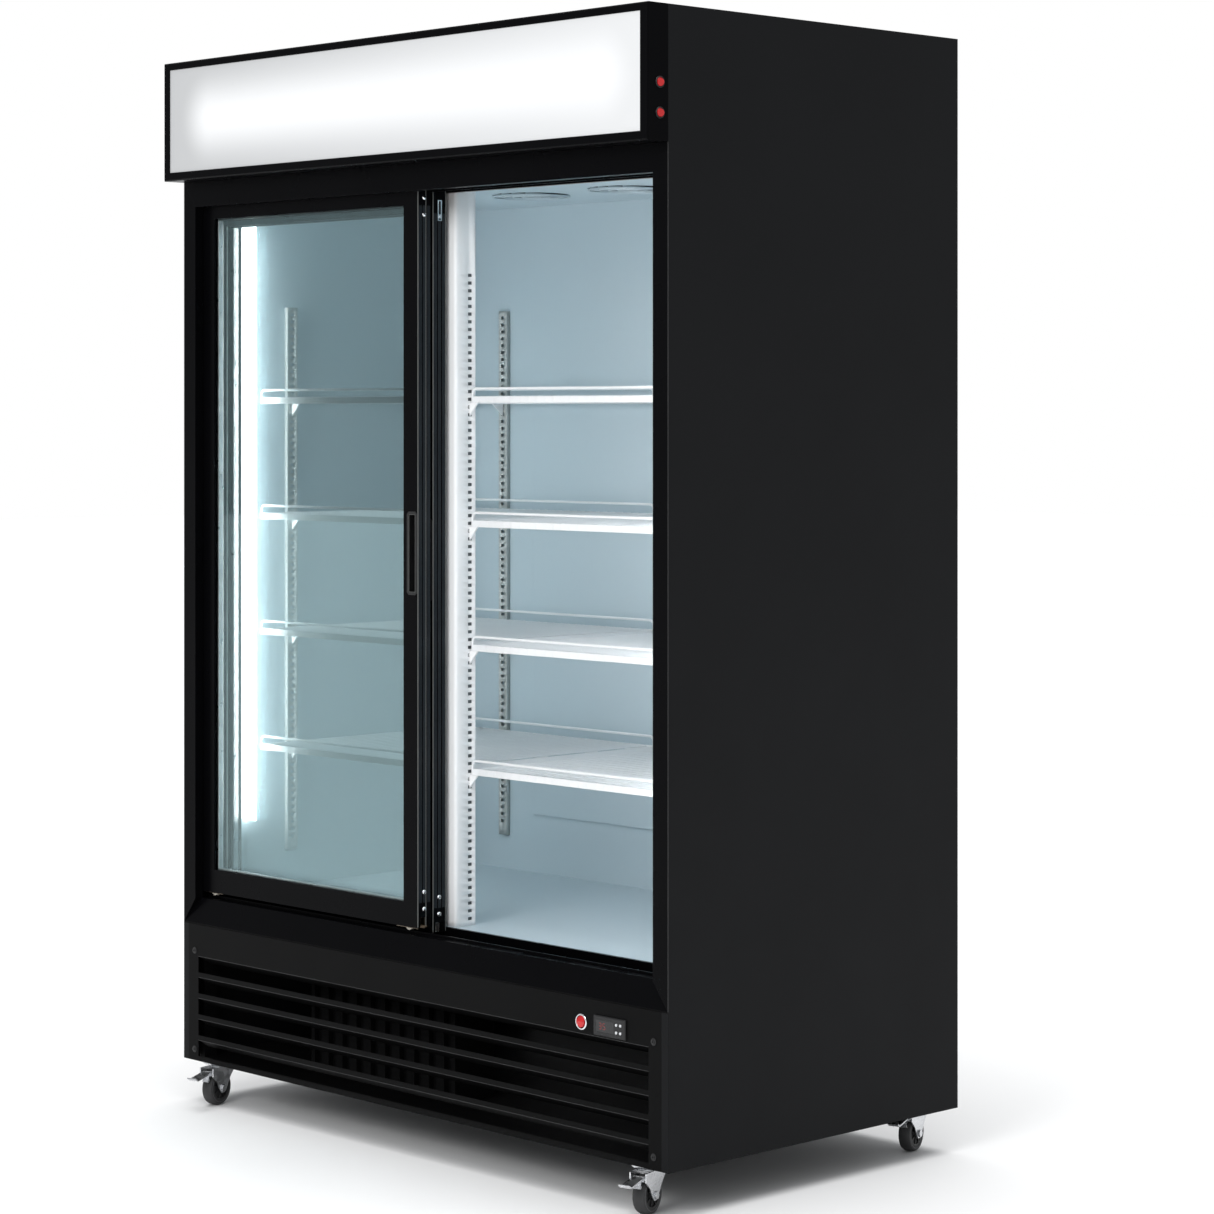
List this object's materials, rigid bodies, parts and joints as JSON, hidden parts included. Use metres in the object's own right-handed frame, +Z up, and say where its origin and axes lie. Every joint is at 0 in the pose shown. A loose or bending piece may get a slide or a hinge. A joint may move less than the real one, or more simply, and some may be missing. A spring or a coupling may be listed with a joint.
{
  "type": "glass door merchandiser",
  "caption": "Upright display refrigerator with sliding glass doors, a lit sign box on top, adjustable wire shelves, a louvred base grille and braked swivel casters.",
  "frame": {"origin": "floor level, under the middle of the cabinet's width and of its depth with the sign box", "axes": "+Z up, +X to the right seen from the front, front faces -Y"},
  "size_m": [1.3531, 0.8112, 2.032],
  "materials": {
    "black_steel": "satin black powder coat",
    "black_aluminium": "gloss black anodised",
    "black_plastic": "moulded",
    "foam": "rigid polyurethane foam",
    "liner_white": "semi-gloss pre-painted sheet",
    "galvanised": "galvanised",
    "sign_acrylic": "translucent white acrylic",
    "lamp_diffuser": "lit diffuser",
    "white_steel": "white powder coat",
    "standard_steel": "zinc plated",
    "white_wire": "white epoxy-coated wire",
    "black_screw": "black washer-head screws",
    "chrome": "bright plated",
    "compressor_black": "gloss black",
    "coil_aluminium": "bare fins",
    "zinc": "bright zinc plated",
    "red_plastic": "translucent red",
    "button_silver": "silver",
    "door_glass": "double glazed, faint blue-green tint",
    "seal_white": "ribbed white vinyl",
    "roller_nylon": "nylon",
    "caster_rubber": "rubber tread on a black nylon hub"
  },
  "bodies": {
    "cabinet": {"side_panel_left": "black_steel", "side_panel_right": "black_steel", "back_panel": "black_steel", "top_panel": "black_steel", "sign_housing": "black_steel", "grille_panel": "black_steel", "cable_gland": "black_plastic", "insulation": "foam", "inner_liner": "liner_white", "evaporator_cover": "liner_white", "base_frame": "galvanised", "door_frame": "black_aluminium", "sign_panel": "sign_acrylic", "lamps": "lamp_diffuser", "centre_post": "white_steel", "shelf_clips": "white_steel", "shelf_standards": "standard_steel", "wire_shelves": "white_wire", "grille_screws": "black_screw", "controller": "black_plastic", "switch_bezels": "chrome", "compressor": "compressor_black", "condenser": "coil_aluminium", "evaporator_coil": "coil_aluminium", "caster_plates": "zinc"},
    "front_door": {"front_door_frame": "black_aluminium", "front_door_glass": "door_glass", "front_door_handle": "black_plastic", "front_door_fittings": "chrome"},
    "front_door_roller_left": {"front_door_roller_left": "roller_nylon"},
    "front_door_roller_right": {"front_door_roller_right": "roller_nylon"},
    "rear_door": {"rear_door_frame": "black_aluminium", "rear_door_glass": "door_glass", "rear_door_handle": "black_plastic", "rear_door_fittings": "chrome", "rear_door_seal": "seal_white"},
    "rear_door_roller_left": {"rear_door_roller_left": "roller_nylon"},
    "rear_door_roller_right": {"rear_door_roller_right": "roller_nylon"},
    "caster_fork_front_left": {"caster_fork_front_left": "zinc"},
    "caster_wheel_front_left": {"caster_wheel_front_left": "caster_rubber"},
    "caster_pedal_front_left": {"caster_pedal_front_left": "zinc"},
    "caster_fork_front_right": {"caster_fork_front_right": "zinc"},
    "caster_wheel_front_right": {"caster_wheel_front_right": "caster_rubber"},
    "caster_pedal_front_right": {"caster_pedal_front_right": "zinc"},
    "caster_fork_rear_left": {"caster_fork_rear_left": "zinc"},
    "caster_wheel_rear_left": {"caster_wheel_rear_left": "caster_rubber"},
    "caster_pedal_rear_left": {"caster_pedal_rear_left": "zinc"},
    "caster_fork_rear_right": {"caster_fork_rear_right": "zinc"},
    "caster_wheel_rear_right": {"caster_wheel_rear_right": "caster_rubber"},
    "caster_pedal_rear_right": {"caster_pedal_rear_right": "zinc"},
    "condenser_fan": {"condenser_fan": "black_plastic"},
    "evaporator_fan_left": {"evaporator_fan_left": "black_plastic"},
    "evaporator_fan_right": {"evaporator_fan_right": "black_plastic"},
    "power_rocker": {"power_rocker": "red_plastic"},
    "light_rocker_upper": {"light_rocker_upper": "red_plastic"},
    "light_rocker_lower": {"light_rocker_lower": "red_plastic"},
    "button_upper_left": {"button_upper_left": "button_silver"},
    "button_upper_right": {"button_upper_right": "button_silver"},
    "button_lower_left": {"button_lower_left": "button_silver"},
    "button_lower_right": {"button_lower_right": "button_silver"}
  },
  "joints": [
    {"name": "front_door_slide", "type": "slide", "parent": "cabinet", "child": "front_door", "axis": [1, 0, 0], "range_m": [0, 0.643]},
    {"name": "front_door_roller_left_spin", "type": "hinge", "parent": "front_door", "child": "front_door_roller_left", "pos_m": [-0.615, -0.313, 0.4143], "axis": [0, 1, 0], "range_deg": [0, 3690]},
    {"name": "front_door_roller_right_spin", "type": "hinge", "parent": "front_door", "child": "front_door_roller_right", "pos_m": [-0.028, -0.313, 0.4143], "axis": [0, 1, 0], "range_deg": [0, 3690]},
    {"name": "rear_door_slide", "type": "slide", "parent": "cabinet", "child": "rear_door", "axis": [1, 0, 0], "range_m": [0, 0.643]},
    {"name": "rear_door_roller_left_spin", "type": "hinge", "parent": "rear_door", "child": "rear_door_roller_left", "pos_m": [-0.615, -0.277, 0.4013], "axis": [0, 1, 0], "range_deg": [0, 3690]},
    {"name": "rear_door_roller_right_spin", "type": "hinge", "parent": "rear_door", "child": "rear_door_roller_right", "pos_m": [-0.028, -0.277, 0.4013], "axis": [0, 1, 0], "range_deg": [0, 3690]},
    {"name": "caster_swivel_front_left", "type": "hinge", "parent": "cabinet", "child": "caster_fork_front_left", "pos_m": [-0.6, -0.31, 0.075], "axis": [0, 0, 1], "continuous": true},
    {"name": "wheel_spin_front_left", "type": "hinge", "parent": "caster_fork_front_left", "child": "caster_wheel_front_left", "pos_m": [-0.59439, -0.3292, 0.0335], "axis": [0.9598, 0.2807, 0], "continuous": true},
    {"name": "brake_pedal_front_left", "type": "hinge", "parent": "caster_fork_front_left", "child": "caster_pedal_front_left", "pos_m": [-0.58682, -0.35508, 0.06452], "axis": [0.9598, 0.2807, 0], "range_deg": [0, 8]},
    {"name": "caster_swivel_front_right", "type": "hinge", "parent": "cabinet", "child": "caster_fork_front_right", "pos_m": [0.6, -0.31, 0.075], "axis": [0, 0, 1], "continuous": true},
    {"name": "wheel_spin_front_right", "type": "hinge", "parent": "caster_fork_front_right", "child": "caster_wheel_front_right", "pos_m": [0.60561, -0.3292, 0.0335], "axis": [0.9598, 0.2807, 0], "continuous": true},
    {"name": "brake_pedal_front_right", "type": "hinge", "parent": "caster_fork_front_right", "child": "caster_pedal_front_right", "pos_m": [0.61318, -0.35508, 0.06452], "axis": [0.9598, 0.2807, 0], "range_deg": [0, 8]},
    {"name": "caster_swivel_rear_left", "type": "hinge", "parent": "cabinet", "child": "caster_fork_rear_left", "pos_m": [-0.6, 0.367, 0.075], "axis": [0, 0, 1], "continuous": true},
    {"name": "wheel_spin_rear_left", "type": "hinge", "parent": "caster_fork_rear_left", "child": "caster_wheel_rear_left", "pos_m": [-0.59439, 0.3478, 0.0335], "axis": [0.9598, 0.2807, 0], "continuous": true},
    {"name": "brake_pedal_rear_left", "type": "hinge", "parent": "caster_fork_rear_left", "child": "caster_pedal_rear_left", "pos_m": [-0.58682, 0.32192, 0.06452], "axis": [0.9598, 0.2807, 0], "range_deg": [0, 8]},
    {"name": "caster_swivel_rear_right", "type": "hinge", "parent": "cabinet", "child": "caster_fork_rear_right", "pos_m": [0.6, 0.367, 0.075], "axis": [0, 0, 1], "continuous": true},
    {"name": "wheel_spin_rear_right", "type": "hinge", "parent": "caster_fork_rear_right", "child": "caster_wheel_rear_right", "pos_m": [0.60561, 0.3478, 0.0335], "axis": [0.9598, 0.2807, 0], "continuous": true},
    {"name": "brake_pedal_rear_right", "type": "hinge", "parent": "caster_fork_rear_right", "child": "caster_pedal_rear_right", "pos_m": [0.61318, 0.32192, 0.06452], "axis": [0.9598, 0.2807, 0], "range_deg": [0, 8]},
    {"name": "condenser_fan_spin", "type": "hinge", "parent": "cabinet", "child": "condenser_fan", "pos_m": [-0.18, -0.17, 0.1915], "axis": [0, 1, 0], "continuous": true},
    {"name": "evaporator_fan_left_spin", "type": "hinge", "parent": "cabinet", "child": "evaporator_fan_left", "pos_m": [-0.134, 0.082, 1.792], "axis": [0, 0, 1], "continuous": true},
    {"name": "evaporator_fan_right_spin", "type": "hinge", "parent": "cabinet", "child": "evaporator_fan_right", "pos_m": [0.134, 0.082, 1.792], "axis": [0, 0, 1], "continuous": true},
    {"name": "power_switch", "type": "hinge", "parent": "cabinet", "child": "power_rocker", "pos_m": [0.464, -0.345, 0.307], "axis": [1, 0, 0], "range_deg": [0, 16]},
    {"name": "light_switch_upper", "type": "hinge", "parent": "cabinet", "child": "light_rocker_upper", "pos_m": [0.672, -0.368, 1.9], "axis": [0, 1, 0], "range_deg": [0, 16]},
    {"name": "light_switch_lower", "type": "hinge", "parent": "cabinet", "child": "light_rocker_lower", "pos_m": [0.672, -0.368, 1.849], "axis": [0, 1, 0], "range_deg": [0, 16]},
    {"name": "button_upper_left_press", "type": "slide", "parent": "cabinet", "child": "button_upper_left", "axis": [0, 1, 0], "range_m": [0, 0.0008], "stiffness_N_per_m": 400},
    {"name": "button_upper_right_press", "type": "slide", "parent": "cabinet", "child": "button_upper_right", "axis": [0, 1, 0], "range_m": [0, 0.0008], "stiffness_N_per_m": 400},
    {"name": "button_lower_left_press", "type": "slide", "parent": "cabinet", "child": "button_lower_left", "axis": [0, 1, 0], "range_m": [0, 0.0008], "stiffness_N_per_m": 400},
    {"name": "button_lower_right_press", "type": "slide", "parent": "cabinet", "child": "button_lower_right", "axis": [0, 1, 0], "range_m": [0, 0.0008], "stiffness_N_per_m": 400}
  ],
  "couplings": [
    {"joint": "front_door_roller_left_spin", "follows": "front_door_slide", "rad_per_m": 100},
    {"joint": "front_door_roller_right_spin", "follows": "front_door_slide", "rad_per_m": 100},
    {"joint": "rear_door_roller_left_spin", "follows": "rear_door_slide", "rad_per_m": 100},
    {"joint": "rear_door_roller_right_spin", "follows": "rear_door_slide", "rad_per_m": 100}
  ]
}
